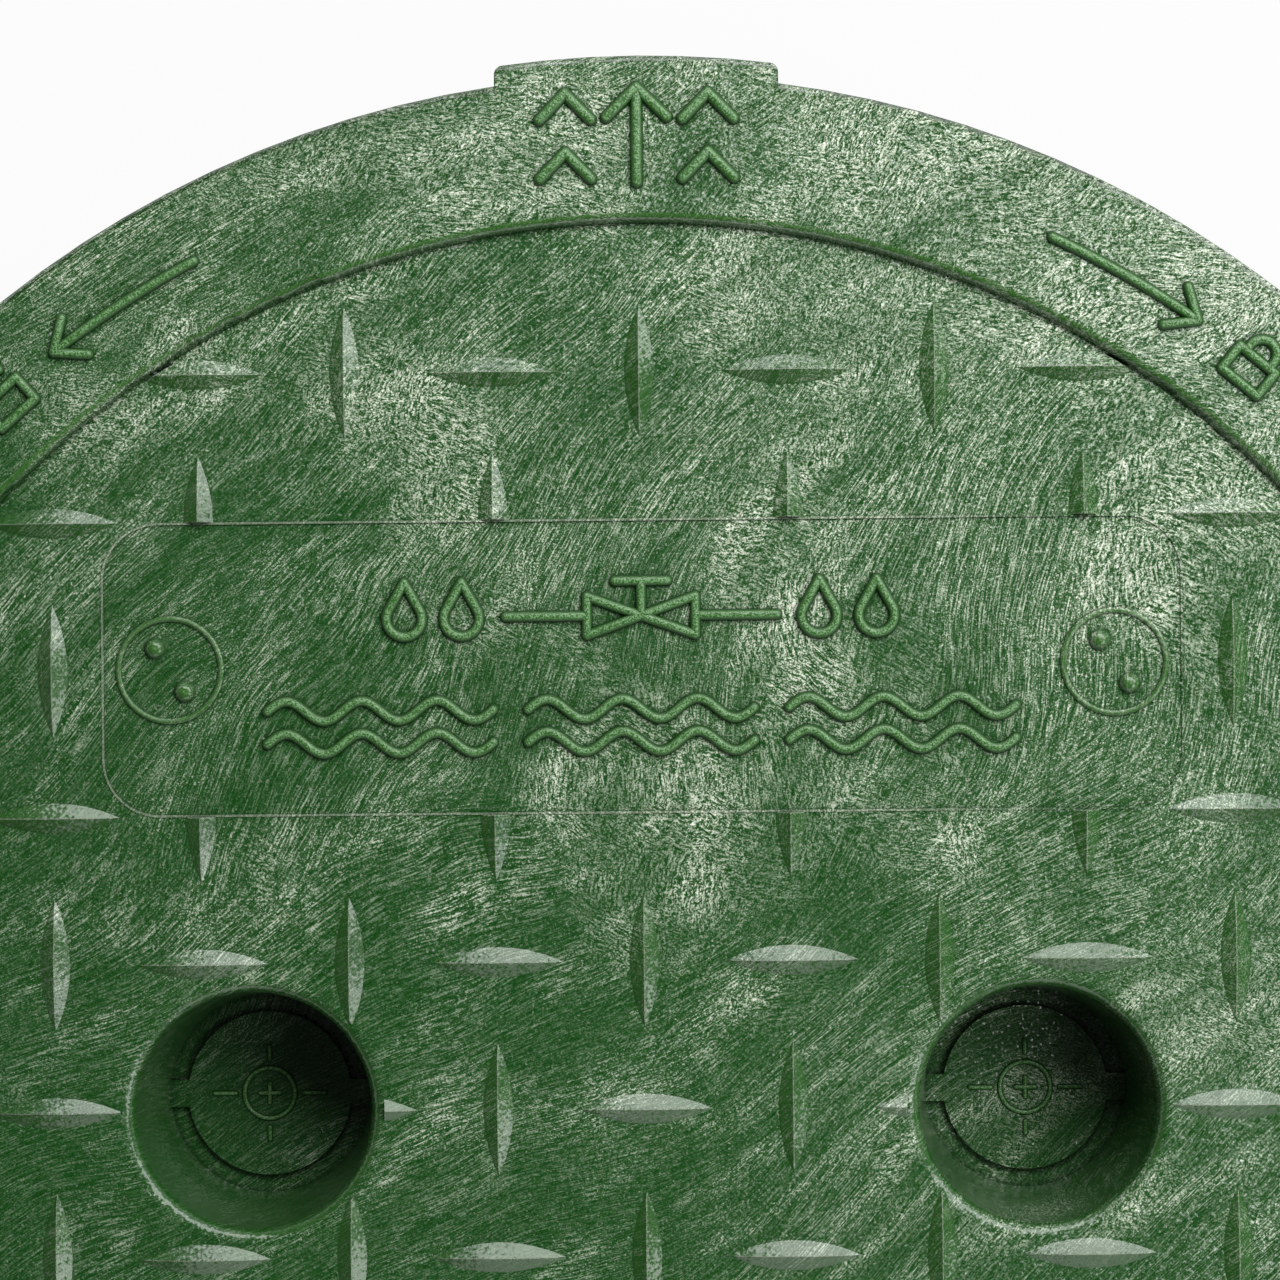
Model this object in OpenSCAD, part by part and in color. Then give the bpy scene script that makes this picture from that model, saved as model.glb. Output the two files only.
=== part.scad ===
// Round twist-lock cover for an irrigation valve box, one moulding in green polyethylene
// Origin on the cover's axis at the foot of the skirt, +Z up, lift tab towards +Y
// Sizes are in millimetres

/* [Tread plate] */
// Diameter of the tread plate, at the foot of the raised band
plate_d = 228.6; // [222:0.1:240]
// Thickness of the plate
plate_t = 4; // [3:0.1:6]

/* [Raised band] */
// Width of the raised band that runs around the plate
band_w = 19.05; // [15:0.05:24]
// Height of the band above the plate
band_h = 1.5; // [1.2:0.1:3]
// Rounding of the band's inner top edge
band_round = 1.4; // [0.4:0.1:1.5]
// Rounding of the rim's outer top edge
rim_round = 0.8; // [0.3:0.1:1.5]

/* [Rim lip] */
// Thickness of the lip that hangs down around the rim, at its foot
lip_t = 2.7; // [2:0.1:4]
// Draft of the lip's inner face, degrees
lip_draft = 2; // [0.5:0.1:4]
// Height of the rim from the foot of the lip to the top of the band
lip_h = 13; // [9:0.5:20]

/* [Lift tab] */
// Width of the lift tab
tab_w = 36.6; // [25:0.1:60]
// How far the tab stands out past the rim
tab_reach = 2.5; // [1.8:0.1:6]
// Thickness of the tab, from the top of the band down
tab_t = 5; // [3:0.1:8]
// Corner radius of the tab in plan
tab_corner = 1.4; // [0.5:0.1:1.7]

/* [Tread pattern] */
// Distance between neighbouring tread bars
tread_pitch = 19.05; // [17:0.05:24]
// Length of one tread bar, tip to tip
bar_l = 17.2; // [10:0.1:20]
// Width of one tread bar at its middle
bar_w = 3.9; // [2.5:0.1:6]
// Height of a tread bar's crest above the plate
bar_h = 1.05; // [0.6:0.05:1.3]

/* [Smooth panel] */
// Width of the smooth panel
panel_w = 139.7; // [110:0.1:160]
// Height of the smooth panel, along Y
panel_h = 38.1; // [25:0.1:50]
// Distance from the cover's axis to the panel's centre
panel_y = 57.15; // [50:0.05:65]
// Corner radius of the panel
panel_corner = 7.5; // [3:0.1:12]
// Depth of the panel below the plate, the step that a separate mould insert leaves
panel_depth = 0.1; // [0.06:0.02:0.6]
// Width of the fine raised line that the insert's joint leaves around the panel
seam_w = 0.3; // [0.2:0.05:0.6]
// Height of that line above the plate
seam_h = 0.1; // [0.06:0.02:0.3]

/* [Screw marks] */
// Distance from the panel's end to the centre of the ring mark there
mark_inset = 8.85; // [8:0.05:20]
// Outer diameter of a ring mark
mark_d = 14.2; // [10:0.1:18]
// Width of the ring's bead
bead_w = 0.9; // [0.5:0.05:1.5]
// Height of the ring's rounded bead
bead_h = 0.4; // [0.2:0.05:0.8]
// Diameter of the two round pips inside a ring
pip_d = 3.1; // [2:0.1:4]
// Distance between the two pips
pip_spacing = 6.8; // [5:0.1:8]
// Direction of the line through the two pips, degrees from +X
pip_angle = 124; // [0:1:180]

/* [Knock-out wells] */
// Distance between the axes of the two wells
well_spacing = 101.6; // [80:0.1:120]
// Diameter of a well under its rounded mouth
well_d = 30.6; // [24:0.1:34]
// Diameter of a well at its floor
well_floor_d = 26.8; // [20:0.1:30]
// Depth of a well, from the plate to its floor
well_depth = 19; // [12:0.5:20]
// Rounding of the well's mouth
well_round = 1.8; // [0.4:0.1:3]
// Thickness of the well's wall and floor
well_t = 2.4; // [2:0.1:3.5]
// Diameter of the knock-out disc in the floor
disc_d = 22; // [16:0.1:25]
// Depth of the groove around the disc
groove_depth = 1; // [0.5:0.1:1.6]
// Width of each of the two bridges that hold the disc
bridge_w = 3.6; // [2:0.1:6]

/* [Locking skirt] */
// Outer diameter of the skirt, which drops into the mouth of the box
skirt_d = 214; // [200:0.5:218]
// Thickness of the skirt at its foot
skirt_t = 2.8; // [2:0.1:4]
// Height of the skirt below the plate
skirt_h = 21.4; // [21:0.1:36]
// Draft of the skirt's inner face, degrees
skirt_draft = 1.5; // [0.5:0.1:3]
// Chamfer at the foot of the skirt, the lugs and the wells
foot_chamfer = 1; // [0.5:0.1:1.6]
// Number of locking lugs around the skirt
lug_count = 4; // [2:1:6]
// Length of a lug around the skirt, degrees
lug_angle = 16; // [8:1:30]
// How far a lug stands out from the skirt
lug_reach = 4.5; // [2:0.1:5.5]
// Height of a lug
lug_h = 5; // [3:0.1:7]
// Length of the sloping lead-in at a lug's free end
lead_l = 9; // [4:0.5:14]
// Slope of that lead-in, degrees
lead_slope = 12; // [4:1:20]
// Length of the stop above the other end of each lug, degrees
stop_angle = 1.6; // [1:0.1:3]

/* [Ribs] */
// Number of radial ribs
rib_count = 12; // [6:1:18]
// Height of the ribs below the plate
rib_h = 6.5; // [5:0.5:14]
// Thickness of the ribs at their free edge
rib_t = 2; // [1.5:0.1:3]
// Draft of the ribs' faces, degrees
rib_draft = 1; // [0.5:0.1:3]
// Diameter of the inner ring rib
hub_ring_d = 54; // [40:1:60]
// Diameter of the outer ring rib
outer_ring_d = 162; // [150:1:180]

/* [Hidden] */
$fn = 128;
// Facets of the large cylinders that shape a tread bar
bar_fn = 240;
// How far one feature is sunk into another that carries it
bury = 0.5;
moulding_green = [0.24, 0.40, 0.24];

plate_r = plate_d / 2;
rim_r = plate_r + band_w;
seat_z = skirt_h;
plate_z = seat_z + plate_t;
band_z = plate_z + band_h;
lip_foot_z = band_z - lip_h;
lip_root_t = lip_t + (seat_z - lip_foot_z) * tan(lip_draft);
skirt_r = skirt_d / 2;
skirt_root_t = skirt_t + skirt_h * tan(skirt_draft);
rib_root_t = rib_t + 2 * rib_h * tan(rib_draft);
bar_lean = atan2(bar_h, bar_w / 2);
bar_rise = bar_h * cos(bar_lean);
bar_r = (pow(bar_l / 2, 2) + pow(bar_rise, 2)) / (2 * bar_rise);
tread_steps = ceil(plate_r / tread_pitch);
// How far a tread bar runs on into the band, to where its crest is inside the rounded edge
crest_rise = min(band_round, max(0, bar_h - band_h + band_round));
tread_bite = band_round - sqrt(pow(band_round, 2) - pow(crest_rise, 2)) + 0.1;

// Sections of the parts that are turned about the cover's axis

// Square block with one rounded corner, from [0, 0] to [w, h], rounded at [0, h]
module block_rounded_left(w, h, r) {
    difference() {
        square([w, h]);
        translate([-r, h - r])
            difference() {
                square([2 * r, 2 * r]);
                translate([2 * r, 0]) circle(r);
            }
    }
}

// Plate, raised band and rim lip in one section
module top_section() {
    translate([0, seat_z]) square([plate_r + band_w / 2, plate_t]);
    intersection() {
        translate([plate_r, seat_z])
            block_rounded_left(band_w, plate_t + band_h, band_round);
        translate([rim_r, seat_z]) mirror([1, 0])
            block_rounded_left(band_w, plate_t + band_h, rim_round);
    }
    polygon([
        [rim_r - lip_t, lip_foot_z],
        [rim_r, lip_foot_z],
        [rim_r, seat_z + bury],
        [rim_r - lip_root_t, seat_z + bury],
        [rim_r - lip_root_t, seat_z]
    ]);
}

// Skirt, with a drafted inner face and a lead-in chamfer at its foot
module skirt_section() {
    polygon([
        [skirt_r - foot_chamfer, 0],
        [skirt_r, foot_chamfer],
        [skirt_r, seat_z + bury],
        [skirt_r - skirt_root_t, seat_z + bury],
        [skirt_r - skirt_root_t, seat_z],
        [skirt_r - skirt_t, 0]
    ]);
}

// Ring rib of a given middle radius, thinner towards its free edge
module ring_rib_section(r) {
    polygon([
        [r - rib_t / 2, seat_z - rib_h],
        [r + rib_t / 2, seat_z - rib_h],
        [r + rib_root_t / 2, seat_z + bury],
        [r - rib_root_t / 2, seat_z + bury]
    ]);
}

module turned_body() {
    rotate_extrude() {
        top_section();
        skirt_section();
        ring_rib_section(hub_ring_d / 2);
        ring_rib_section(outer_ring_d / 2);
    }
}

// Radial ribs, from the inner ring rib out to the skirt
module radial_ribs() {
    rib_start = hub_ring_d / 2;
    rib_end = skirt_r - skirt_t / 2;
    for (k = [0 : rib_count - 1])
        rotate(k * 360 / rib_count)
            translate([rib_start, 0, seat_z])
                rotate([90, 0, 90])
                    linear_extrude(rib_end - rib_start)
                        polygon([
                            [-rib_t / 2, -rib_h],
                            [rib_t / 2, -rib_h],
                            [rib_root_t / 2, bury],
                            [-rib_root_t / 2, bury]
                        ]);
}

// One bayonet lug, from angle 0 on, its top sloping down to its free end
module lug(root_r, tip_r, top_z) {
    difference() {
        rotate_extrude(angle = lug_angle)
            polygon([
                [root_r, foot_chamfer],
                [tip_r - foot_chamfer, foot_chamfer],
                [tip_r, 2 * foot_chamfer],
                [tip_r, top_z],
                [root_r, top_z]
            ]);
        rotate(lug_angle)
            translate([root_r - bury, -lead_l, top_z])
                rotate([-lead_slope, 0, 0])
                    cube([tip_r - root_r + 2 * bury, 2 * lead_l, lug_h]);
    }
}

// Bayonet lugs around the skirt's foot, each with a stop that rises from its end to the seat
module locking_lugs() {
    root_r = skirt_r - skirt_t / 2;
    tip_r = skirt_r + lug_reach;
    for (k = [0 : lug_count - 1])
        rotate((k + 0.5) * 360 / lug_count - lug_angle / 2) {
            lug(root_r, tip_r, foot_chamfer + lug_h);
            rotate_extrude(angle = stop_angle)
                translate([root_r, 2 * foot_chamfer])
                    square([tip_r - root_r, seat_z + bury - 2 * foot_chamfer]);
        }
}

// Outline of the lift tab: an arc about the cover's axis between two straight sides
module tab_outline() {
    tip_r = rim_r + tab_reach;
    corner_x = tab_w / 2 - tab_corner;
    corner_y = sqrt(pow(tip_r - tab_corner, 2) - pow(corner_x, 2));
    intersection() {
        circle(tip_r, $fn = 360);
        polygon([[0, 0], [-2 * corner_x, 2 * corner_y], [2 * corner_x, 2 * corner_y]]);
    }
    translate([-tab_w / 2, 0]) square([tab_w, corner_y]);
    for (side = [-1, 1])
        translate([side * corner_x, corner_y]) circle(tab_corner);
}

// Lift tab, flush with the band, its outer top edge rounded like the rim's
module lift_tab() {
    root_r = rim_r - band_w / 2;
    intersection() {
        rotate_extrude()
            translate([rim_r + tab_reach, band_z - tab_t]) mirror([1, 0])
                block_rounded_left(rim_r + tab_reach - root_r, tab_t, rim_round);
        translate([0, 0, band_z - tab_t - bury])
            linear_extrude(tab_t + 2 * bury) tab_outline();
    }
}

// One flank of a tread bar: a large leaning cylinder, so that its top line arches
module bar_flank() {
    rotate([-bar_lean, 0, 0])
        translate([0, 0, bar_rise - bar_r])
            rotate([90, 0, 0])
                cylinder(h = 4 * bar_w, r = bar_r, center = true, $fn = bar_fn);
}

// Tread bar along X: two flanks meet in a straight crest with a pointed tip at each end
module tread_bar() {
    intersection() {
        bar_flank();
        mirror([0, 1, 0]) bar_flank();
        translate([-bar_l / 2 - bury, -bar_w, -bury])
            cube([bar_l + 2 * bury, 2 * bar_w, bar_h + 2 * bury]);
    }
}

// True where a bar centred at [x, y] would be wholly inside the panel or along its edge
function in_panel(x, y, along_x) =
    let (reach = along_x ? bar_w / 2 : -bar_l / 2)
    abs(y - panel_y) < panel_h / 2 + reach && abs(x) < panel_w / 2;

// True where a bar centred at [x, y] would be wholly inside a well's mouth
function in_well(x, y) =
    norm([abs(x) - well_spacing / 2, y]) < well_d / 2 - bar_l / 2;

// Bars on a square grid, turned by a quarter from each place to the next
module tread_grid() {
    for (i = [-tread_steps : tread_steps])
        for (j = [-tread_steps : tread_steps]) {
            x = i * tread_pitch;
            y = j * tread_pitch;
            along_x = (i + j) % 2 == 0;
            if (norm([x, y]) < plate_r && !in_panel(x, y, along_x) && !in_well(x, y))
                translate([x, y, plate_z]) rotate(along_x ? 0 : 90) tread_bar();
        }
}

// The grid of bars, ended at the foot of the band
module tread() {
    intersection() {
        tread_grid();
        translate([0, 0, plate_z - 2 * bury])
            cylinder(h = bar_h + 4 * bury, r = plate_r + tread_bite);
    }
}

module rounded_rectangle(w, h, r) {
    square([w, h - 2 * r], center = true);
    square([w - 2 * r, h], center = true);
    for (x = [-1, 1], y = [-1, 1])
        translate([x * (w / 2 - r), y * (h / 2 - r)]) circle(r);
}

// Shallow recess of the panel, which also ends the bars that cross its outline
module panel_recess() {
    translate([0, panel_y, plate_z - panel_depth])
        linear_extrude(panel_depth + 2 * bar_h)
            rounded_rectangle(panel_w, panel_h, panel_corner);
}

// Fine raised line just inside the panel's outline
module panel_seam() {
    translate([0, panel_y, plate_z - panel_depth - bury])
        linear_extrude(bury + panel_depth + seam_h)
            difference() {
                rounded_rectangle(panel_w, panel_h, panel_corner);
                rounded_rectangle(panel_w - 2 * seam_w, panel_h - 2 * seam_w, panel_corner - seam_w);
            }
}

// Ring with two round pips, the print of a screw that holds the mould insert
module screw_mark() {
    pip_r = pip_d / 2;
    pip_sink = pip_r / 3;
    rotate_extrude()
        translate([(mark_d - bead_w) / 2, 0])
            intersection() {
                translate([0, bead_h - bead_w / 2]) circle(bead_w / 2);
                translate([-bead_w, -bury]) square([2 * bead_w, bury + bead_h]);
            }
    for (end = [0, 180])
        rotate(pip_angle + end)
            translate([pip_spacing / 2, 0, -pip_sink])
                intersection() {
                    sphere(pip_r);
                    translate([0, 0, pip_sink - bury]) cylinder(h = pip_d, r = pip_d);
                }
}

module screw_marks() {
    for (side = [-1, 1])
        translate([side * (panel_w / 2 - mark_inset), panel_y, plate_z - panel_depth])
            screw_mark();
}

// Outside of one well's cup, below the plate
module well_cup() {
    top_z = seat_z + bury;
    foot_z = plate_z - well_depth - well_t;
    foot_r = well_floor_d / 2 + well_t;
    rotate_extrude()
        polygon([
            [0, foot_z],
            [foot_r - foot_chamfer, foot_z],
            [foot_r, foot_z + foot_chamfer],
            [well_d / 2 + well_t, top_z],
            [0, top_z]
        ]);
}

// Inside of one well: a tapered bore with a rounded mouth
module well_bore() {
    floor_z = plate_z - well_depth;
    bore_r = well_d / 2;
    rotate_extrude() {
        polygon([
            [0, floor_z],
            [well_floor_d / 2, floor_z],
            [bore_r, plate_z - well_round],
            [bore_r, plate_z + 2 * bar_h],
            [0, plate_z + 2 * bar_h]
        ]);
        difference() {
            translate([0, plate_z - well_round])
                square([bore_r + well_round, well_round + 2 * bar_h]);
            translate([bore_r + well_round, plate_z - well_round]) circle(well_round);
        }
    }
}

// Groove in the well's floor that leaves a disc held by two bridges
module knock_out_groove() {
    floor_z = plate_z - well_depth;
    difference() {
        translate([0, 0, floor_z - groove_depth])
            cylinder(h = groove_depth + bury, r = well_floor_d / 2);
        translate([0, 0, floor_z - 2 * groove_depth])
            cylinder(h = 3 * groove_depth + bury, r = disc_d / 2);
        translate([-well_d, -bridge_w / 2, floor_z - 2 * groove_depth])
            cube([2 * well_d, bridge_w, 3 * groove_depth + bury]);
    }
}

module at_wells() {
    for (side = [-1, 1])
        translate([side * well_spacing / 2, 0, 0]) children();
}

module cover() {
    color(moulding_green)
        difference() {
            union() {
                difference() {
                    union() {
                        turned_body();
                        tread();
                    }
                    panel_recess();
                }
                panel_seam();
                screw_marks();
                radial_ribs();
                locking_lugs();
                lift_tab();
                at_wells() well_cup();
            }
            at_wells() well_bore();
            at_wells() knock_out_groove();
        }
}

cover();
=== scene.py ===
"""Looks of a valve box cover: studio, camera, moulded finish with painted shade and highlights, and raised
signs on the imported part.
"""

import math

import bpy
from mathutils import Euler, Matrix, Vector
from mathutils.bvhtree import BVHTree


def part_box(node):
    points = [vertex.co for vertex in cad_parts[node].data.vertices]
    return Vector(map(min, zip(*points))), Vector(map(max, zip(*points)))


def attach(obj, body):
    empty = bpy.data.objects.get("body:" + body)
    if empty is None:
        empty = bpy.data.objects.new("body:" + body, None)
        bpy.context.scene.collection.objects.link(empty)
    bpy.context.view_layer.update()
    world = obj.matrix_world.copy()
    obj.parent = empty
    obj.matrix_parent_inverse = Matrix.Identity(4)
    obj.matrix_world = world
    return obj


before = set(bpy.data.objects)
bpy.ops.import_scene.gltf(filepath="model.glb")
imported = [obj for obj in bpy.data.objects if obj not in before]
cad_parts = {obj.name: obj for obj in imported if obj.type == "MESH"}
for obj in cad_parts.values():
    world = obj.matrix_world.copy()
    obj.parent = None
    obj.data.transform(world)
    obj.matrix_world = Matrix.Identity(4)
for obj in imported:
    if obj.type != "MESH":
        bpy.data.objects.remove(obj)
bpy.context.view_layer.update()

# Driving places and sizes, in metres
MM = 0.001
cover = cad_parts["cover"]
_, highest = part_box("cover")
tread_pitch = 19.05 * MM
plate_z = highest.z - 1.5 * MM
rim_radius = highest.x
plate_radius = rim_radius - tread_pitch
band_radius = (rim_radius + plate_radius) / 2
band_round = 1.4 * MM
tab_radius = highest.y
tab_half = 18.3 * MM
panel_y = 3 * tread_pitch
well_x = 8 / 3 * tread_pitch

# Camera: the photograph's own place, turn in degrees, and lens
camera_place = (4.62 * MM, 59.04 * MM, 469.26 * MM)
camera_turn = (0.179, 0.620, -0.541)
camera_lens = 96.7
sensor_width = 36
nearest_seen = 0.01
farthest_seen = 20

# Studio: soft boxes, each with name, azimuth from +X and elevation in degrees, distance, width,
# height and power
lamps = (
    ("key", 60, 46, 0.75, 1.10, 0.42, 8.6),
    ("side", -30, 41, 0.60, 0.24, 0.24, 1.0),
    ("fill", -84, 22, 0.90, 0.70, 0.25, 0.9),
)
lamp_aim = Vector((0, 50 * MM, highest.z))
white = (1, 1, 1, 1)
ambient = 0.04
backdrop_radius = 3.0
backdrop_height = 0.9
backdrop_bend = 0.5
backdrop_bend_steps = 8
backdrop_turns = 72
backdrop_grey = (0.55, 0.55, 0.55, 1)
backdrop_share = 0.94


# Node trees

class Graph:
    """Short calls that add nodes to one node tree. A value is a socket or a number."""

    def __init__(self, tree):
        self.tree = tree

    def node(self, kind, **values):
        node = self.tree.nodes.new(kind)
        for name, value in values.items():
            node.inputs[name.replace("_", " ")].default_value = value
        return node

    def link(self, source, target):
        self.tree.links.new(source, target)

    def feed(self, target, value):
        """A socket is linked to the target, and a number is set on it."""
        if isinstance(value, bpy.types.NodeSocket):
            self.link(value, target)
        else:
            target.default_value = value

    def math(self, operation, first, second=0.0, clamp=False):
        node = self.node("ShaderNodeMath")
        node.operation = operation
        node.use_clamp = clamp
        self.feed(node.inputs[0], first)
        self.feed(node.inputs[1], second)
        return node.outputs[0]

    def times(self, first, *others):
        for other in others:
            first = self.math("MULTIPLY", first, other)
        return first

    def plus(self, first, second):
        return self.math("ADD", first, second)

    def minus(self, first, second):
        return self.math("SUBTRACT", first, second)

    def most(self, first, *others):
        for other in others:
            first = self.math("MAXIMUM", first, other)
        return first

    def unsigned(self, value):
        return self.math("ABSOLUTE", value)

    def rest(self, share):
        """What a share leaves of 1."""
        return self.minus(1.0, share)

    def vector_math(self, operation, first, second=(0, 0, 0)):
        node = self.node("ShaderNodeVectorMath")
        node.operation = operation
        self.feed(node.inputs[0], first)
        self.feed(node.inputs[1], second)
        return node.outputs["Value" if operation == "DOT_PRODUCT" else "Vector"]

    def scaled(self, vector, factor):
        node = self.node("ShaderNodeVectorMath")
        node.operation = "SCALE"
        self.feed(node.inputs[0], vector)
        self.feed(node.inputs["Scale"], factor)
        return node.outputs[0]

    def parts(self, vector):
        """The X, Y and Z of a vector."""
        split = self.node("ShaderNodeSeparateXYZ")
        self.link(vector, split.inputs[0])
        return split.outputs

    def joined(self, *parts):
        """The vector with this X, Y and Z."""
        whole = self.node("ShaderNodeCombineXYZ")
        for target, part in zip(whole.inputs, parts):
            self.feed(target, part)
        return whole.outputs[0]

    def noise(self, vector, size, detail=1.0, roughness=0.5, colour=False):
        node = self.node("ShaderNodeTexNoise", Scale=1 / size, Detail=detail, Roughness=roughness)
        self.link(vector, node.inputs["Vector"])
        return node.outputs["Color" if colour else "Fac"]

    def nudged(self, vector, place, size, reach, detail=1.0):
        """The vector, pushed about by noise whose cells have the given size."""
        drift = self.noise(place, size, detail, colour=True)
        centred = self.vector_math("SUBTRACT", drift, (0.5, 0.5, 0.5))
        return self.vector_math("ADD", vector, self.scaled(centred, reach))

    def warped(self, place, size, reach):
        """The place, pushed about by slow noise, so that lines drawn in it bend."""
        return self.nudged(place, place, size, reach)

    def strokes_along(self, place, way, size, detail, roughness):
        """Noise in strokes of a given size that run a given way, in degrees from +X."""
        along = self.node("ShaderNodeMapping", Scale=size, Rotation=(0, 0, math.radians(way)))
        along.vector_type = "TEXTURE"
        self.link(place, along.inputs["Vector"])
        return self.noise(along.outputs[0], 1.0, detail, roughness)

    def step(self, value, low, high, start=0.0, end=1.0):
        """It runs smoothly from start to end as the value passes from low to high."""
        node = self.node("ShaderNodeMapRange")
        node.interpolation_type = "SMOOTHSTEP"
        names = ("Value", "From Min", "From Max", "To Min", "To Max")
        for name, number in zip(names, (value, low, high, start, end)):
            self.feed(node.inputs[name], number)
        return node.outputs["Result"]

    def fade(self, value, low, high):
        """It runs smoothly from 1 to 0 as the value passes from low to high."""
        return self.step(value, low, high, 1.0, 0.0)

    def blend(self, kind, sockets, share, first, second):
        """A mix of one kind, whose sockets are those of the first, the second and the result."""
        node = self.node("ShaderNodeMix")
        node.data_type = kind
        self.feed(node.inputs[0], share)
        self.feed(node.inputs[sockets[0]], first)
        self.feed(node.inputs[sockets[1]], second)
        return node.outputs[sockets[2]]

    def mix(self, share, first, second):
        return self.blend("FLOAT", (2, 3, 0), share, first, second)

    def mix_vector(self, share, first, second):
        return self.blend("VECTOR", (4, 5, 1), share, first, second)

    def mix_colour(self, share, first, second):
        return self.blend("RGBA", (6, 7, 2), share, first, second)

    def mix_shader(self, share, first, second):
        node = self.node("ShaderNodeMixShader")
        for target, source in zip(node.inputs, (share, first, second)):
            self.link(source, target)
        return node.outputs[0]

    def finish(self, shader, kind="ShaderNodeOutputMaterial"):
        self.link(shader, self.node(kind).inputs["Surface"])


def new_material(name):
    material = bpy.data.materials.new(name)
    material.use_nodes = True
    material.node_tree.nodes.clear()
    return material, Graph(material.node_tree)


# Camera and studio

def make_camera():
    data = bpy.data.cameras.new("camera")
    data.lens = camera_lens
    data.sensor_width = sensor_width
    data.clip_start = nearest_seen
    data.clip_end = farthest_seen
    camera = bpy.data.objects.new("camera", data)
    camera.location = camera_place
    camera.rotation_euler = Euler([math.radians(angle) for angle in camera_turn], "XYZ")
    bpy.context.scene.collection.objects.link(camera)
    bpy.context.scene.camera = camera


def make_lamp(name, azimuth, elevation, distance, width, height, power):
    data = bpy.data.lights.new(name, "AREA")
    data.shape = "RECTANGLE"
    data.size = width
    data.size_y = height
    data.energy = power
    around, up = math.radians(azimuth), math.radians(elevation)
    way = Vector((math.cos(up) * math.cos(around), math.cos(up) * math.sin(around), math.sin(up)))
    lamp = bpy.data.objects.new(name, data)
    lamp.location = lamp_aim + way * distance
    lamp.rotation_euler = way.to_track_quat("Z", "Y").to_euler()
    bpy.context.scene.collection.objects.link(lamp)


def make_world():
    world = bpy.data.worlds.new("studio")
    world.use_nodes = True
    world.node_tree.nodes.clear()
    graph = Graph(world.node_tree)
    dim = graph.node("ShaderNodeBackground", Color=white, Strength=ambient)
    graph.finish(dim.outputs[0], "ShaderNodeOutputWorld")
    bpy.context.scene.world = world


def make_backdrop_material():
    """It shows nearly white to the rays that see a background, and lights the object as a grey floor."""
    material, graph = new_material("backdrop_white")
    matt = graph.node("ShaderNodeBsdfDiffuse", Color=backdrop_grey)
    glow = graph.node("ShaderNodeEmission", Color=white, Strength=1.0)
    rays = graph.node("ShaderNodeLightPath").outputs
    seeing = graph.most(rays["Is Camera Ray"], rays["Is Glossy Ray"], rays["Is Transmission Ray"])
    glow_share = graph.times(seeing, backdrop_share)
    graph.finish(graph.mix_shader(glow_share, matt.outputs[0], glow.outputs[0]))
    material.cycles.emission_sampling = "NONE"
    return material


def make_backdrop():
    """A white floor that bends up into a low wall all round."""
    floor_radius = backdrop_radius - backdrop_bend
    profile = [(floor_radius, 0)]
    for i in range(1, backdrop_bend_steps + 1):
        angle = math.pi / 2 * i / backdrop_bend_steps
        reach = floor_radius + backdrop_bend * math.sin(angle)
        profile.append((reach, backdrop_bend * (1 - math.cos(angle))))
    profile.append((backdrop_radius, backdrop_height))
    corners = []
    for radius, height in profile:
        for i in range(backdrop_turns):
            angle = 2 * math.pi * i / backdrop_turns
            corners.append((radius * math.cos(angle), radius * math.sin(angle), height))
    faces = [tuple(range(backdrop_turns))]
    for row in range(len(profile) - 1):
        low, high = row * backdrop_turns, (row + 1) * backdrop_turns
        for i in range(backdrop_turns):
            after = (i + 1) % backdrop_turns
            faces.append((low + i, high + i, high + after, low + after))
    mesh = bpy.data.meshes.new("backdrop")
    mesh.from_pydata(corners, [], faces)
    mesh.materials.append(make_backdrop_material())
    backdrop = bpy.data.objects.new("backdrop", mesh)
    bpy.context.scene.collection.objects.link(backdrop)


# Colours of the plastic, with painted shade and painted highlights among them
# Painted shade on the sides of beads, and a lighter painted top where light falls on them
shaded_bead_side = (0.008, 0.054, 0.005, 1)
lit_bead_top = (0.034, 0.128, 0.018, 1)
# Painted shade in narrow corners
corner_shade_green = (0.003, 0.022, 0.003, 1)
# Painted shade on the rounded outer edge of the rim and the tab
shaded_rim_green = (0.006, 0.038, 0.005, 1)
dark_green = (0.006, 0.062, 0.006, 1)
# Painted shade on steep sides
shaded_wall_green = (0.012, 0.066, 0.009, 1)
smooth_green = (0.018, 0.088, 0.011, 1)
# Pale streaks: partly flow marks, partly painted glints
pale_green = (0.24, 0.44, 0.21, 1)
# Painted highlight for glints, sparks and crests
glint_white = (0.82, 0.87, 0.72, 1)

# Sizes of what the mould's face prints, and of the clouds of painted sheen and the painted sparks, in
# metres. Strokes have a length, a width and a depth.
streak_size = (3.4 * MM, 0.19 * MM, 3.4 * MM)
shred_size = (1.35 * MM, 0.26 * MM, 1.35 * MM)
flake_size = (0.38 * MM, 0.20 * MM, 0.38 * MM)
cloud_size = (26 * MM, 8 * MM, 26 * MM)
grain_size = 0.22 * MM
spark_size = 0.34 * MM
pit_size = 0.40 * MM
streak_ground_size = 70 * MM
shred_ground_size = 13 * MM
rough_size = 34 * MM
# Reach and samples of the painted shade in corners, then of the rounded normal on crests, and the signs'
# bump
corner_shade_reach = 0.9 * MM
corner_shade_samples = 1
crest_reach = 0.25 * MM
crest_samples = 2
sign_relief = 0.10 * MM

# Detail and roughness of the noise in what has more than one size
streak_noise = (3.0, 0.75)
shred_noise = (3.0, 0.74)
cloud_noise = (3.0, 0.65)
rough_noise = (3.0, 0.6)
flake_noise = (1.0, 0.6)
shred_ground_detail = 2.0
sign_grain_detail = 2.0
pit_detail = 0.0

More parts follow.
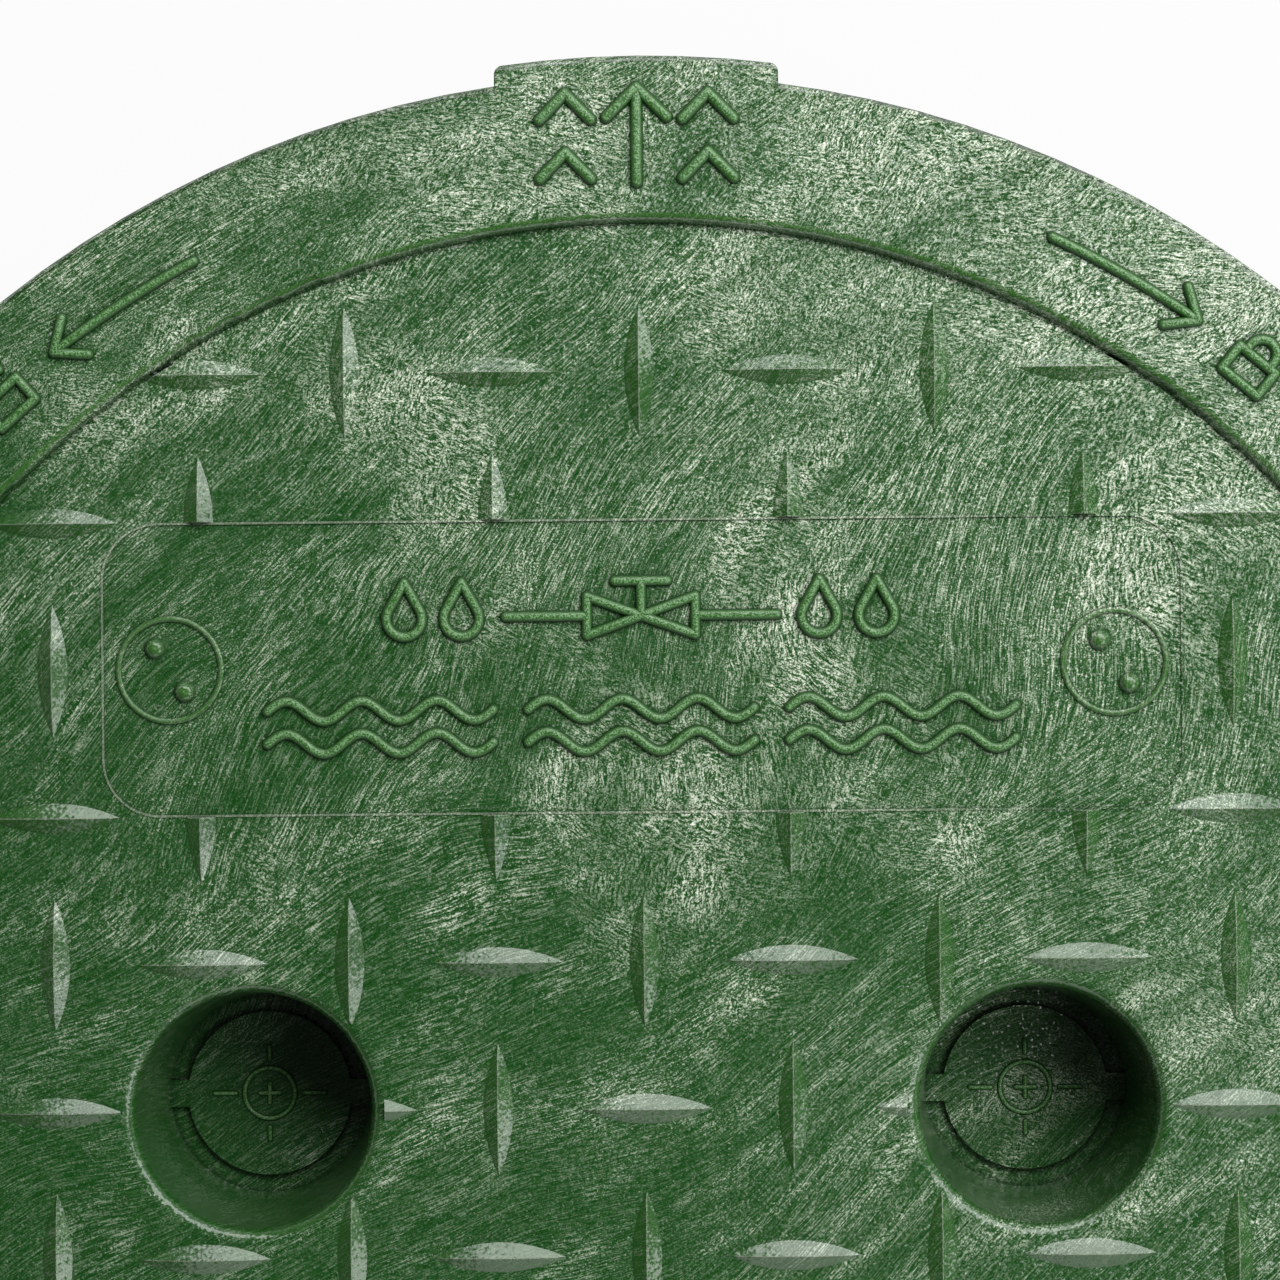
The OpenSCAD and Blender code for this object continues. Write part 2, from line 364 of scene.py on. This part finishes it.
# Slow bends of the flow, as the size and the reach of the push, in metres
wide_bend = (95 * MM, 55 * MM)
close_bend = (24 * MM, 5 * MM)
curl = (2.2 * MM, 1.3 * MM)

# Ways of the strokes, in degrees from +X
streak_ways = (30, 54)
shred_ways = (-15, 70)
flake_way = 25
cloud_way = 42

# The heights, reaches and sides, in metres, between which one zone of the cover passes into the next
lifted_heights = (plate_z + 0.10 * MM, plate_z + 0.22 * MM)
step_heights = (plate_z + 0.02 * MM, plate_z + 0.08 * MM)
band_heights = (plate_z + 1.38 * MM, plate_z + 1.47 * MM)
well_heights = (plate_z - 3 * MM, plate_z - 1 * MM)
joint_heights = (plate_z + 0.05 * MM, plate_z + 0.08 * MM)
over_joint = (plate_z + 0.11 * MM, plate_z + 0.14 * MM)
plate_edge = (plate_radius - 0.5 * MM, plate_radius - 0.2 * MM)
round_reach = (-0.04 * MM, 0.0)
band_start = (plate_radius + 1.0 * MM, plate_radius + 1.3 * MM)
rim_start = (rim_radius - 2 * MM, rim_radius - 1 * MM)
rim_edge = (rim_radius - 1.0 * MM, rim_radius - 0.7 * MM)
tab_edge = (tab_radius - 1.0 * MM, tab_radius - 0.7 * MM)
tab_side = (tab_half - 0.4 * MM, tab_half)
middle_line = (-1 * MM, 1 * MM)
panel_long_side = (18.2 * MM, 18.8 * MM)
panel_short_side = (69 * MM, 69.6 * MM)
left_part = (-25 * MM, 15 * MM)
joint_fades = (30 * MM, 60 * MM)

# Slopes, as the Z of a face's normal, between which a finish comes in
level_slope = (0.90, 0.97)
wall_slope = (0.45, 0.78)
flank_slope = (0.5, 0.7)
bead_slope = (0.50, 0.98)
top_slope = (0.98, 1.0)

# What the finish is made of: shares of a mix, the range of noise over which each part comes in, and how
# much the noise leans towards +X and +Y for each metre. The lean makes the leather, the lit flanks' painted
# highlight and the clouds of painted sheen grow towards the upper right, where the key light stands; the
# glint and spark ranges are painted highlights.
streak_ground = (0.44, 0.56)
shred_ground = (0.46, 0.54)
grain_in_streaks = 0.30
grain_in_shreds = 0.33
flakes_in_leather = 0.22
lean_x = 0.85
lean_y = 1.3
leather_range = (0.57, 0.68)
flank_range = (0.42, 0.50)
cloud_range = (0.38, 0.80)
wisp_range = (0.80, 1.0)
rough_in_wisps = 0.6
streak_tones = (0.40, 0.63)
leather_tones = (0.41, 0.60)
streak_glints = (0.50, 0.64)
leather_glints = (0.47, 0.63)
spark_range = (0.66, 0.74)

# How strongly the pale streaks, painted glints and painted sparks show in each place. A pair is for bare
# places and for places under the clouds of painted sheen.
steep_cover = 0.30
bar_cover = 0.48
well_cover = 0.80
streak_cover = 0.80
lit_flank_cover = 0.8
pale_strength = (0.20, 0.60)
glint_strength = (0.14, 1.0)
spark_strength = (0.20, 1.0)
wisp_gain = 1.30

# The share of light from the right or from the back that a flank must face to get a painted highlight as a
# lit flank
lit_facing = (0.2, 0.4)

# Painted highlights on crests, bead tops and the panel's joint. The bend is how far a rounded normal still
# agrees with the face's own.
crest_bend = (0.90, 0.97)
crest_highlight = 0.85
joint_highlight = 0.20
bead_highlight = 0.3
panel_highlight = 0.35
highlight_grain = (0.35, 0.60)
least_highlight = 0.5
# Painted highlight on the tops of the signs' beads
sign_highlight = 0.72
sign_highlight_slope = (0.80, 1.0)
sign_highlight_grain = (0.42, 0.60)
sunk_sign_highlight = 0.8

# Roughness and shine. The face's gloss is for bare and for streaked places.
face_gloss = (0.26, 0.18)
steep_gloss = 0.20
engraved_gloss = 0.14
sign_gloss = 0.24
face_shine = 0.6
sign_shine = 0.5

# How far fine pits turn the normal, on steep or raised places and on flats
pit_depth = (0.30, 0.75)
sign_grain_height = 0.9


# Moulded plastic

class Zones:
    """Where on the cover a point lies, with a share from 0 to 1 for each zone that it may be in."""

    def __init__(self, graph):
        coordinates = graph.node("ShaderNodeTexCoord").outputs
        self.place = coordinates["Object"]
        self.x, self.y, self.z = graph.parts(self.place)
        self.facing_x, self.facing_y, facing_z = graph.parts(coordinates["Normal"])
        squares = graph.plus(graph.times(self.x, self.x), graph.times(self.y, self.y))
        self.reach = graph.math("SQRT", squares)
        self.in_plate = graph.fade(self.reach, *plate_edge)
        self.lifted = graph.step(self.z, *lifted_heights)

        self.find_round(graph)
        self.upright = graph.mix(self.on_round, facing_z, graph.parts(self.round_normal)[2])
        self.level = graph.step(self.upright, *level_slope)

        self.raised = graph.minus(self.lifted, self.find_band(graph))
        self.plain = graph.times(self.level, graph.rest(self.raised))
        self.above_wells = graph.step(self.z, *well_heights)
        from_panel = graph.unsigned(graph.minus(self.y, panel_y))
        long_sides = graph.fade(from_panel, *panel_long_side)
        short_sides = graph.fade(graph.unsigned(self.x), *panel_short_side)
        self.in_panel = graph.times(long_sides, short_sides)
        on_engraved = graph.most(graph.rest(self.in_plate), self.in_panel)
        self.engraved = graph.times(self.raised, on_engraved)

    def find_round(self, graph):
        """The band's rounded inner edge. Its normal comes from its place, as its triangles are long."""
        from_ring = graph.minus(self.reach, plate_radius + band_round)
        inside = graph.fade(from_ring, *round_reach)
        over_plate = graph.step(self.z, *step_heights)
        self.on_round = graph.times(graph.rest(self.in_plate), inside, over_plate)
        sideways = graph.math("DIVIDE", from_ring, self.reach)
        upwards = graph.minus(self.z, highest.z - band_round)
        way = graph.joined(graph.times(self.x, sideways), graph.times(self.y, sideways), upwards)
        self.round_normal = graph.vector_math("NORMALIZE", way)

    def find_band(self, graph):
        """The band's flat top and the tab's, without their outer edge."""
        beside_tab = graph.step(graph.unsigned(self.x), *tab_side)
        away_from_tab = graph.most(beside_tab, graph.fade(self.y, *middle_line))
        on_rim_edge = graph.times(graph.step(self.reach, *rim_edge), away_from_tab)
        outer_edge = graph.most(on_rim_edge, graph.step(self.reach, *tab_edge))
        on_top = graph.step(self.z, *band_heights)
        return graph.times(on_top, graph.step(self.reach, *band_start), graph.rest(outer_edge))


class StreaksAndSheen:
    """Streaks that the mould's face prints, which turn leathery at the upper right, and painted light over
    them: glints, sparks, and pale clouds and wisps of painted sheen that grow towards the upper right.
    """

    def __init__(self, graph, zones):
        place = zones.place
        flow = graph.warped(graph.warped(place, *wide_bend), *close_bend)
        self.grain = graph.noise(place, grain_size)
        rough = graph.noise(flow, rough_size, *rough_noise)
        lean = graph.plus(graph.times(zones.x, lean_x), graph.times(zones.y, lean_y))
        leaning = graph.plus(rough, lean)
        self.leathery = graph.step(leaning, *leather_range)
        self.on_flanks = graph.step(leaning, *flank_range)

        streaks = self.make_streaks(graph, place, flow)
        leather = self.make_leather(graph, place, flow)
        self.signal = graph.mix(self.leathery, streaks, leather)
        # The tone gives pale streaks, partly flow marks and partly painted glints; the glint is a painted
        # highlight
        self.tone = self.part_of_signal(graph, streak_tones, leather_tones)
        self.glint = self.part_of_signal(graph, streak_glints, leather_glints)

        # Painted sheen: pale clouds and brighter wisps that grow towards the upper right with the lean, and
        # sparks of painted glint
        cloud = graph.strokes_along(flow, cloud_way, cloud_size, *cloud_noise)
        self.clouds = graph.step(graph.plus(cloud, lean), *cloud_range)
        self.wisps = graph.step(graph.plus(cloud, graph.times(rough, rough_in_wisps)), *wisp_range)
        self.sparks = graph.step(graph.noise(place, spark_size), *spark_range)

    def make_streaks(self, graph, place, flow):
        """Two flows of streaks, each with its own ground, and a fine grain over both."""
        ground = graph.step(graph.noise(place, streak_ground_size), *streak_ground)
        low, steep = (graph.strokes_along(flow, way, streak_size, *streak_noise) for way in streak_ways)
        return graph.mix(grain_in_streaks, graph.mix(ground, low, steep), self.grain)

    def make_leather(self, graph, place, flow):
        """Curled shreds that run two ways, with flakes and the same grain over them."""
        curled = graph.warped(flow, *curl)
        ground_noise = graph.noise(place, shred_ground_size, shred_ground_detail)
        ground = graph.step(ground_noise, *shred_ground)
        low, steep = (graph.strokes_along(curled, way, shred_size, *shred_noise) for way in shred_ways)
        shreds = graph.mix(grain_in_shreds, graph.mix(ground, low, steep), self.grain)
        flakes = graph.strokes_along(curled, flake_way, flake_size, *flake_noise)
        return graph.mix(flakes_in_leather, shreds, flakes)

    def part_of_signal(self, graph, in_streaks, in_leather):
        """The signal between two levels, which differ in streaks and in leather."""
        low, high = (graph.mix(self.leathery, *levels) for levels in zip(in_streaks, in_leather))
        return graph.step(self.signal, low, high)


def find_flats_and_lit_flanks(graph, zones, finish):
    """The flats, and the bars' flanks that face the lamps, which get the pale streaks and glints of
    leathery places as a painted highlight.
    """
    left_share = graph.fade(zones.x, *left_part)
    # Painted highlight on flanks that face the key and side lamps; facing +X counts only on the left, where
    # the side lamp's reflection falls
    towards_light = graph.most(graph.times(zones.facing_x, left_share), zones.facing_y)
    lit = graph.step(towards_light, *lit_facing)
    lit_flank = graph.times(lit, graph.step(zones.upright, *flank_slope))
    return graph.most(zones.plain, graph.times(lit_flank, finish.on_flanks, lit_flank_cover))


def shaded_and_lit_bead_colour(graph, upright):
    """Painted shade on the sides of beads and a painted lit top: darker on the sides, lighter on top."""
    return graph.mix_colour(graph.step(upright, *bead_slope), shaded_bead_side, lit_bead_top)


def bare_colour(graph, zones, flats_and_lit_flanks):
    """The plastic's own colour in each zone, with painted shade on steep sides, bead sides and the rim's
    edge and a painted lit top on beads, under streaks, leather and painted highlights.
    """
    # Painted shade: steep sides, such as those of beads, pips and wells, are darker than the bars' flanks
    wall = graph.fade(zones.upright, *wall_slope)
    steep = graph.mix_colour(wall, smooth_green, shaded_wall_green)
    face = graph.mix_colour(flats_and_lit_flanks, steep, dark_green)
    # Painted shade on the rounded outer edge of the rim and the tab
    on_rim = graph.step(zones.reach, *rim_start)
    engraved = graph.mix_colour(on_rim, shaded_and_lit_bead_colour(graph, zones.upright), shaded_rim_green)
    return graph.mix_colour(zones.engraved, face, engraved)


def face_colour(graph, zones, finish, flats_and_lit_flanks):
    """The plastic with its streaks and leather, and painted light over them: pale streaks that are partly
    painted glints, painted glints and sparks, and clouds of painted sheen.
    """
    bars = graph.times(zones.raised, zones.in_plate, graph.rest(zones.in_panel))
    slope_cover = graph.mix(flats_and_lit_flanks, graph.mix(bars, steep_cover, bar_cover), 1.0)
    # Fewer pale streaks and painted glints down in the wells, where less light falls
    depth_cover = graph.mix(zones.above_wells, well_cover, 1.0)
    cover_share = graph.times(slope_cover, depth_cover, graph.mix(finish.leathery, streak_cover, 1.0))
    # Pale streaks are partly flow marks and partly painted glints; glints and sparks are painted highlights
    paleness = graph.times(finish.tone, cover_share, graph.mix(finish.clouds, *pale_strength))
    glints = graph.times(finish.glint, cover_share, graph.mix(finish.clouds, *glint_strength))
    glints = graph.math("MULTIPLY", glints, graph.mix(finish.wisps, 1.0, wisp_gain), clamp=True)
    sparks = graph.times(finish.sparks, cover_share)
    sparks = graph.times(sparks, graph.mix(finish.clouds, *spark_strength))
    streaked = graph.mix_colour(paleness, bare_colour(graph, zones, flats_and_lit_flanks), pale_green)
    return graph.mix_colour(graph.most(glints, sparks), streaked, glint_white)


def find_painted_highlights(graph, zones, finish, bend):
    """Painted highlights on crests: the panel's joint, the rings' beads and the bars."""
    crest_share = graph.times(zones.raised, zones.in_plate, graph.mix(zones.in_panel, 1.0, panel_highlight))
    crest = graph.times(graph.step(bend, *crest_bend, crest_highlight, 0.0), crest_share)
    joint = graph.times(
        zones.level,
        graph.step(zones.z, *joint_heights),
        graph.fade(zones.z, *over_joint),
        graph.step(zones.x, *joint_fades, joint_highlight, 0.0),
    )
    bead = graph.times(graph.step(zones.upright, *top_slope, 0.0, bead_highlight), crest_share)
    highlight_speckle = graph.step(finish.grain, *highlight_grain, least_highlight, 1.0)
    return graph.times(graph.most(crest, joint, bead), highlight_speckle)


def shaded_foot(graph, colour):
    """The colour, with painted shade in the narrow corners at the foot of a bead, a bar or a step, where
    ambient occlusion finds them.
    """
    corner = graph.node("ShaderNodeAmbientOcclusion", Distance=corner_shade_reach)
    corner.samples = corner_shade_samples
    return graph.mix_colour(corner.outputs["AO"], corner_shade_green, colour)


def make_plastic():
    """The moulded face: streaked and leathery flats, and smoother bars, beads, pips and walls, with painted
    glints, sheen and crest highlights, and painted shade on steep sides, edges and in corners.
    """
    material, graph = new_material("moulded_green")
    zones = Zones(graph)
    finish = StreaksAndSheen(graph, zones)
    flats_and_lit_flanks = find_flats_and_lit_flanks(graph, zones, finish)

    rounded = graph.node("ShaderNodeBevel", Radius=crest_reach)
    rounded.samples = crest_samples
    geometry = graph.node("ShaderNodeNewGeometry").outputs
    bend = graph.vector_math("DOT_PRODUCT", rounded.outputs[0], geometry["True Normal"])
    painted_highlight = find_painted_highlights(graph, zones, finish, bend)
    # Painted highlights on crests, bead tops and the panel's joint
    colour = graph.mix_colour(painted_highlight, face_colour(graph, zones, finish, flats_and_lit_flanks), glint_white)

    shader = graph.node("ShaderNodeBsdfPrincipled", Specular_IOR_Level=face_shine)
    graph.link(shaded_foot(graph, colour), shader.inputs["Base Color"])
    gloss = graph.mix(flats_and_lit_flanks, steep_gloss, graph.mix(finish.tone, *face_gloss))
    graph.link(graph.mix(zones.engraved, gloss, engraved_gloss), shader.inputs["Roughness"])
    normal = graph.mix_vector(zones.lifted, geometry["Normal"], rounded.outputs[0])
    normal = graph.mix_vector(zones.on_round, normal, zones.round_normal)
    depth = graph.mix(zones.plain, *pit_depth)
    pitted = graph.nudged(normal, zones.place, pit_size, depth, pit_detail)
    graph.link(graph.vector_math("NORMALIZE", pitted), shader.inputs["Normal"])
    graph.finish(shader.outputs[0])
    return material


def make_smooth_plastic():
    """The same plastic off an engraved part of the mould: plain and glossy, with painted highlights on the
    bead tops and painted shade on their sides.
    """
    material, graph = new_material("smooth_green")
    coordinates = graph.node("ShaderNodeTexCoord").outputs
    upright = graph.parts(coordinates["Normal"])[2]
    height = graph.parts(coordinates["Object"])[2]
    grain = graph.noise(coordinates["Object"], grain_size, sign_grain_detail)
    # Painted highlight on the tops of the signs' beads, broken by grain
    painted_highlight = graph.times(
        graph.step(upright, *sign_highlight_slope, 0.0, sign_highlight),
        graph.step(grain, *sign_highlight_grain),
        graph.step(height, *well_heights, sunk_sign_highlight, 1.0),
    )
    colour = graph.mix_colour(painted_highlight, shaded_and_lit_bead_colour(graph, upright), pale_green)
    shader = graph.node("ShaderNodeBsdfPrincipled", Specular_IOR_Level=sign_shine, Roughness=sign_gloss)
    graph.link(shaded_foot(graph, colour), shader.inputs["Base Color"])
    bump = graph.node("ShaderNodeBump", Strength=1.0, Distance=sign_relief)
    graph.link(graph.times(grain, sign_grain_height), bump.inputs["Height"])
    graph.link(bump.outputs[0], shader.inputs["Normal"])
    graph.finish(shader.outputs[0])
    return material


# Beads of the raised signs, in metres. A width and a height come together.
sign_bead = (1.55 * MM, 0.75 * MM)
tab_bead = (1.75 * MM, 0.75 * MM)
disc_bead = (0.75 * MM, 0.35 * MM)
sign_sink = 0.12 * MM
arch_steps = 8
cap_steps = 5
smallest_cap = 0.04
sharp_angle = 50
path_step = 0.4 * MM


# Strokes, which are lists of (points, closed)

def arc(centre, radius, start, end):
    """Points on a circle from one angle to another, in degrees."""
    count = max(3, int(abs(math.radians(end - start)) * radius / path_step))
    angles = [math.radians(start + (end - start) * i / count) for i in range(count + 1)]
    return [(centre[0] + radius * math.cos(a), centre[1] + radius * math.sin(a)) for a in angles]


def line(*points):
    """Straight strokes from point to point, each with round ends."""
    strokes = []
    for start, end in zip(points, points[1:]):
        middle = ((start[0] + end[0]) / 2, (start[1] + end[1]) / 2)
        strokes.append(([start, middle, end], False))
    return strokes


def drop(centre, height):
    """A water drop: a round foot that runs up to a point."""
    radius = 0.33 * height
    middle = (centre[0], centre[1] - height / 2 + radius)
    tip = (centre[0], centre[1] + height / 2)
    slope = math.degrees(math.acos(radius / (tip[1] - middle[1])))
    bowl = arc(middle, radius, 90 + slope, 450 - slope)
    return [(bowl, False)] + line(bowl[-1], tip, bowl[0])


def wave(start_x, end_x, y, swing, periods):
    """A level wave."""
    count = int((end_x - start_x) / path_step)
    points = []
    for i in range(count + 1):
        share = i / count
        rise = swing * math.sin(2 * math.pi * periods * share)
        points.append((start_x + (end_x - start_x) * share, y + rise))
    return [(points, False)]


def chevron(centre, width, height):
    """A peak that points away from the cover's middle."""
    x, y = centre
    half, rise = width / 2, height / 2
    return line((x - half, y - rise), (x, y + rise), (x + half, y - rise))


def turned(strokes, angle, radius):
    """Strokes drawn upright about the origin, set on the band at an angle from +X, in degrees."""
    lean = math.radians(angle - 90)
    cos, sin = math.cos(lean), math.sin(lean)
    place = (radius * math.cos(math.radians(angle)), radius * math.sin(math.radians(angle)))
    moved = []
    for points, closed in strokes:
        spots = [(place[0] + x * cos - y * sin, place[1] + x * sin + y * cos) for x, y in points]
        moved.append((spots, closed))
    return moved


def padlock(shackle_lift):
    """A padlock about the origin. Lifting the shackle opens it."""
    half, low, high = 2.9 * MM, -3.1 * MM, 0.6 * MM
    radius = 1.9 * MM
    shackle_y = high + 0.9 * MM + shackle_lift
    body = line((-half, low), (half, low), (half, high), (-half, high), (-half, low))
    bow = arc((0, shackle_y), radius, 0, 180)
    left = line((-radius, high), (-radius, shackle_y))
    right = [] if shackle_lift else line((radius, shackle_y), (radius, high))
    return body + [(bow, False)] + left + right


def band_arrow(start, end):
    """A curved arrow on the band, from one angle to another."""
    barb_angle, barb_reach = 1.6, 2.9 * MM
    back = end - barb_angle if end > start else end + barb_angle
    shaft = arc((0, 0), band_radius, start, end)
    tip = shaft[-1]
    outer, inner = (arc((0, 0), band_radius + reach, back, end)[0] for reach in (barb_reach, -barb_reach))
    return [(shaft, False)] + line(outer, tip, inner)


# Signs made of strokes

cover_tree = BVHTree.FromPolygons(
    [vertex.co for vertex in cover.data.vertices],
    [polygon.vertices for polygon in cover.data.polygons],
)


def surface_height(x, y):
    """Height of the cover's upper surface under a place."""
    hit = cover_tree.ray_cast(Vector((x, y, 1)), Vector((0, 0, -1)))
    return hit[0].z


def arch_ring(centre, along, width, height):
    """One cross-section of a bead: half an ellipse over a flat foot."""
    side = Vector((-along.y, along.x, 0))
    angles = [math.pi * i / arch_steps for i in range(arch_steps + 1)]
    top = [centre + side * (math.cos(a) * width / 2) + Vector((0, 0, math.sin(a) * height)) for a in angles]
    sink = Vector((0, 0, sign_sink))
    foot = [centre - side * (width / 2) - sink, centre + side * (width / 2) - sink]
    return top + foot


def stroke_rings(points, level, width, height, closed):
    """The cross-sections along one stroke, with a round cap at each free end."""
    spots = [Vector((x, y, level)) for x, y in points]
    count = len(spots)
    rings = []
    for i, spot in enumerate(spots):
        before = spots[i - 1] if closed or i > 0 else spot
        after = spots[(i + 1) % count] if closed or i < count - 1 else spot
        rings.append((spot, (after - before).normalized(), 1.0))
    if not closed:
        start, start_way, _ = rings[0]
        end, end_way, _ = rings[-1]
        for i in range(cap_steps):
            share = math.sin(math.pi / 2 * (i + 1) / cap_steps)
            scale = max(smallest_cap, math.sqrt(max(0.0, 1 - share * share)))
            rings.insert(0, (start - start_way * share * width / 2, start_way, scale))
            rings.append((end + end_way * share * width / 2, end_way, scale))
    return [arch_ring(spot, way, width * scale, height * scale) for spot, way, scale in rings]


def make_sign(name, strokes, material, bead=sign_bead):
    """One piece of closed beads, which stand on the cover's surface."""
    vertices = []
    faces = []
    for points, closed in strokes:
        level = surface_height(*points[len(points) // 2])
        rings = stroke_rings(points, level, *bead, closed)
        start = len(vertices)
        size = len(rings[0])
        vertices += [corner for ring in rings for corner in ring]
        joins = len(rings) if closed else len(rings) - 1
        for i in range(joins):
            here = start + i * size
            there = start + (i + 1) % len(rings) * size
            for k in range(size):
                after = (k + 1) % size
                faces.append((here + k, here + after, there + after, there + k))
        if not closed:
            faces.append(tuple(start + k for k in reversed(range(size))))
            faces.append(tuple(start + (len(rings) - 1) * size + k for k in range(size)))
    mesh = bpy.data.meshes.new(name)
    mesh.from_pydata(vertices, [], faces)
    mesh.validate()
    mesh.polygons.foreach_set("use_smooth", [True] * len(mesh.polygons))
    mesh.set_sharp_from_angle(angle=math.radians(sharp_angle))
    mesh.materials.append(material)
    sign = bpy.data.objects.new(name, mesh)
    bpy.context.scene.collection.objects.link(sign)
    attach(sign, "root")


def make_panel_signs(material):
    """A valve between water drops over three pairs of waves, in two rows like the panel's words."""
    row_1, row_2 = panel_y + 7.5 * MM, panel_y - 7.6 * MM
    drop_height = 7.0 * MM
    drops = []
    for x in (-30.6, -23.2, 23.0, 30.4):
        drops += drop((x * MM, row_1), drop_height)
    make_sign("sign_drops", drops, material)

    wing, lift, pipe_end = 7.0 * MM, 2.5 * MM, 17.5 * MM
    base, wheel_y, wheel_half = row_1 - 1.0 * MM, row_1 + 3.5 * MM, 3.4 * MM
    wings = line((-wing, base - lift), (-wing, base + lift), (wing, base - lift),
                 (wing, base + lift), (-wing, base - lift))
    pipes = line((-pipe_end, base), (-wing, base)) + line((wing, base), (pipe_end, base))
    wheel = line((0, base), (0, wheel_y)) + line((-wheel_half, wheel_y), (wheel_half, wheel_y))
    make_sign("sign_valve", wings + pipes + wheel, material)

    wave_half, wave_lift, wave_swing, wave_periods = 14.6, 2.1 * MM, 1.3 * MM, 3
    waves = []
    for x in (-33.8, -0.1, 33.6):
        start_x, end_x = (x - wave_half) * MM, (x + wave_half) * MM
        for y in (row_2 + wave_lift, row_2 - wave_lift):
            waves += wave(start_x, end_x, y, wave_swing, wave_periods)
    make_sign("sign_waves", waves, material)


def make_tab_sign(material):
    """An arrow that points to the tab's edge, with two chevrons at each side."""
    tab_y = 125.6 * MM
    tip_y, tail_y, barb_y, barb_x = tab_y + 6.0 * MM, tab_y - 6.2 * MM, tab_y + 2.2 * MM, 3.9 * MM
    chevron_x, chevron_width, chevron_height = 9.2 * MM, 6.6 * MM, 3.4 * MM
    arrow = line((0, tail_y), (0, tip_y)) + line((-barb_x, barb_y), (0, tip_y), (barb_x, barb_y))
    for x in (-chevron_x, chevron_x):
        for y in (tab_y + 3.6 * MM, tab_y - 4.0 * MM):
            arrow += chevron((x, y), chevron_width, chevron_height)
    make_sign("sign_lift", arrow, material, tab_bead)


def make_band_signs(material):
    """Left of the tab the way to open, and right of it the way to close."""
    for name, arrow_start, arrow_end, lock_angle, shackle_lift in (
        ("sign_turn_open", 117.5, 127.5, 131.5, 1.3 * MM),
        ("sign_turn_closed", 64.5, 54.5, 50.3, 0),
    ):
        lock = turned(padlock(shackle_lift), lock_angle, band_radius)
        make_sign(name, band_arrow(arrow_start, arrow_end) + lock, material)


def make_disc_signs(material):
    """A drilling mark on each knock-out disc: a ring, four ticks and a cross."""
    ring_radius, cross_half = 3.4 * MM, 1.3 * MM
    tick_start, long_tick_end, short_tick_end = 4.6 * MM, 7.4 * MM, 6.2 * MM
    for x, name in ((-well_x, "left"), (well_x, "right")):
        marks = [(arc((x, 0), ring_radius, 0, 360)[:-1], True)]
        for angle in (0, 90, 180, 270):
            way = Vector((math.cos(math.radians(angle)), math.sin(math.radians(angle))))
            near = way * tick_start
            far = way * (long_tick_end if angle % 180 == 0 else short_tick_end)
            marks += line((x + near.x, near.y), (x + far.x, far.y))
        marks += line((x - cross_half, 0), (x + cross_half, 0)) + line((x, -cross_half), (x, cross_half))
        make_sign("sign_centre_" + name, marks, material, disc_bead)


bpy.context.scene.view_settings.view_transform = "Standard"
make_camera()
make_world()
for lamp_row in lamps:
    make_lamp(*lamp_row)
make_backdrop()
plastic = make_plastic()
for material_slot in cover.material_slots:
    material_slot.material = plastic
smooth_plastic = make_smooth_plastic()
make_panel_signs(smooth_plastic)
make_tab_sign(smooth_plastic)
make_band_signs(smooth_plastic)
make_disc_signs(smooth_plastic)
